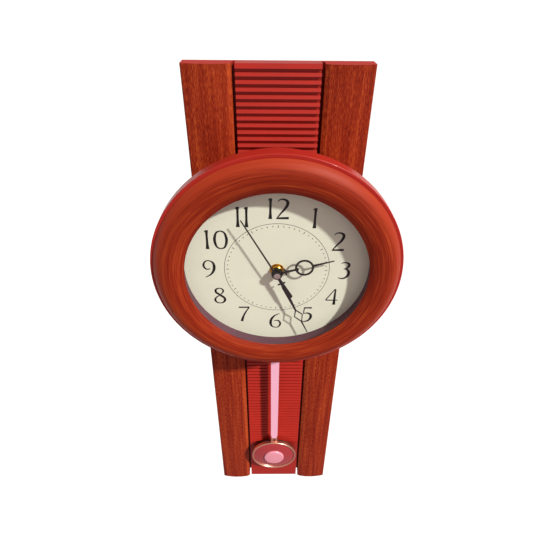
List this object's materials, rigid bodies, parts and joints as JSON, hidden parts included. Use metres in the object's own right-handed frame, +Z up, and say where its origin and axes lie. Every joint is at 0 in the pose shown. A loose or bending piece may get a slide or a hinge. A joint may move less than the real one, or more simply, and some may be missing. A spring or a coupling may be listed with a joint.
{
  "type": "wall clock",
  "caption": "Wall clock with a round wood-grain bezel on a tall red and wood-grain back board, pierced black hands and a swinging pendulum",
  "frame": {"origin": "centre of the hanger keyhole's round entry, on the wall plane", "axes": "+Z up along the back board, -Y out of the dial towards the viewer, +Y into the wall, +X towards three o'clock"},
  "size_m": [0.244, 0.0796, 0.6315],
  "materials": {
    "red_plastic": "red moulded plastic, satin",
    "wood_foil": "wood-grain foil on red plastic, satin lacquer",
    "grey_plastic": "matt grey plastic",
    "clear_glass": "flat clear glass",
    "dial_paint": "cream painted sheet",
    "hand_enamel": "black enamel",
    "dial_ink": "black printing ink on the dial",
    "bright_metal": "bright plated cap",
    "brass": "turned brass",
    "gold_plate": "bright gold plating",
    "gold_strip": "satin anodised gold",
    "red_gloss": "deep red lacquer",
    "black_plastic": "black moulded plastic",
    "white_plastic": "natural acetal",
    "red_knob_plastic": "moulded plastic",
    "zinc_steel": "zinc plated steel",
    "core_steel": "soft core steel",
    "magnet": "sintered magnet",
    "copper_wire": "enamelled copper wire",
    "board_laminate": "green laminate",
    "battery_sleeve": "plain printed sleeve",
    "black_rubber": "rubber"
  },
  "bodies": {
    "case": {"back_board": "red_plastic", "hanger_plate": "zinc_steel", "hanger_rivets": "zinc_steel", "left_stile": "wood_foil", "right_stile": "wood_foil", "stile_screws": "zinc_steel", "slat_panel": "red_plastic", "drum_case": "red_plastic", "drum_screws": "zinc_steel", "bezel_ring": "wood_foil", "bezel_screws": "zinc_steel", "dial_glass": "clear_glass", "spacer_ring": "grey_plastic", "dial_plate": "dial_paint", "dial_washer": "black_rubber", "nut_washer": "brass", "hand_nut": "brass", "movement_housing": "black_plastic", "movement_cover": "black_plastic", "mid_plate": "white_plastic", "stator": "core_steel", "coil_core": "core_steel", "coil_bobbin": "white_plastic", "coil_winding": "copper_wire", "circuit_board": "board_laminate", "timing_chip": "black_plastic", "quartz_crystal": "zinc_steel", "battery": "battery_sleeve", "contact_plus": "zinc_steel", "contact_minus": "zinc_steel", "drive_coil": "copper_wire", "pivot_pin": "zinc_steel"},
    "rotor": {"rotor": "white_plastic", "rotor_magnet": "magnet"},
    "intermediate_wheel": {"intermediate_wheel": "white_plastic"},
    "second_hand": {"seconds_wheel": "white_plastic", "second_hand": "hand_enamel", "second_cap": "bright_metal"},
    "third_wheel": {"third_wheel": "white_plastic"},
    "centre_wheel": {"centre_wheel": "white_plastic"},
    "minute_hand": {"minute_cannon": "brass", "minute_hand": "hand_enamel"},
    "motion_wheel": {"motion_wheel": "white_plastic"},
    "setting_knob": {"setting_knob": "red_knob_plastic"},
    "hour_hand": {"hour_wheel": "white_plastic", "hour_hand": "hand_enamel"},
    "pendulum": {"swing_arm": "white_plastic", "drive_magnet": "magnet", "rod_hanger": "zinc_steel", "pendulum_rod": "gold_strip", "rod_neck": "gold_plate", "bob_rim": "gold_plate", "bob_face": "red_gloss", "bob_disc": "gold_strip", "bob_back": "black_plastic"}
  },
  "joints": [
    {"name": "second_hand_spin", "type": "hinge", "parent": "case", "child": "second_hand", "pos_m": [0, -0.05, -0.14], "axis": [0, 1, 0], "continuous": true},
    {"name": "minute_hand_spin", "type": "hinge", "parent": "case", "child": "minute_hand", "pos_m": [0, -0.05, -0.14], "axis": [0, 1, 0], "continuous": true},
    {"name": "hour_hand_spin", "type": "hinge", "parent": "case", "child": "hour_hand", "pos_m": [0, -0.05, -0.14], "axis": [0, 1, 0], "continuous": true},
    {"name": "rotor_spin", "type": "hinge", "parent": "case", "child": "rotor", "pos_m": [-0.01616, -0.05, -0.14636], "axis": [0, 1, 0], "continuous": true},
    {"name": "intermediate_spin", "type": "hinge", "parent": "case", "child": "intermediate_wheel", "pos_m": [-0.0098, -0.05, -0.14], "axis": [0, 1, 0], "continuous": true},
    {"name": "third_spin", "type": "hinge", "parent": "case", "child": "third_wheel", "pos_m": [0.0051, -0.05, -0.13117], "axis": [0, 1, 0], "continuous": true},
    {"name": "centre_spin", "type": "hinge", "parent": "case", "child": "centre_wheel", "pos_m": [0, -0.05, -0.14], "axis": [0, 1, 0], "continuous": true},
    {"name": "motion_spin", "type": "hinge", "parent": "case", "child": "motion_wheel", "pos_m": [0.00722, -0.05, -0.14263], "axis": [0, 1, 0], "continuous": true},
    {"name": "knob_spin", "type": "hinge", "parent": "case", "child": "setting_knob", "pos_m": [0.01534, -0.05, -0.14558], "axis": [0, 1, 0], "continuous": true},
    {"name": "pendulum_swing", "type": "hinge", "parent": "case", "child": "pendulum", "pos_m": [0, -0.0486, -0.195], "axis": [0, 1, 0], "range_deg": [-8, 8]}
  ],
  "couplings": [
    {"joint": "intermediate_spin", "follows": "second_hand_spin", "ratio": -6},
    {"joint": "rotor_spin", "follows": "second_hand_spin", "ratio": 30},
    {"joint": "third_spin", "follows": "second_hand_spin", "ratio": -0.13333},
    {"joint": "centre_spin", "follows": "second_hand_spin", "ratio": 0.016667},
    {"joint": "motion_spin", "follows": "minute_hand_spin", "ratio": -0.33333},
    {"joint": "hour_hand_spin", "follows": "minute_hand_spin", "ratio": 0.083333},
    {"joint": "knob_spin", "follows": "minute_hand_spin", "ratio": 0.66667}
  ]
}
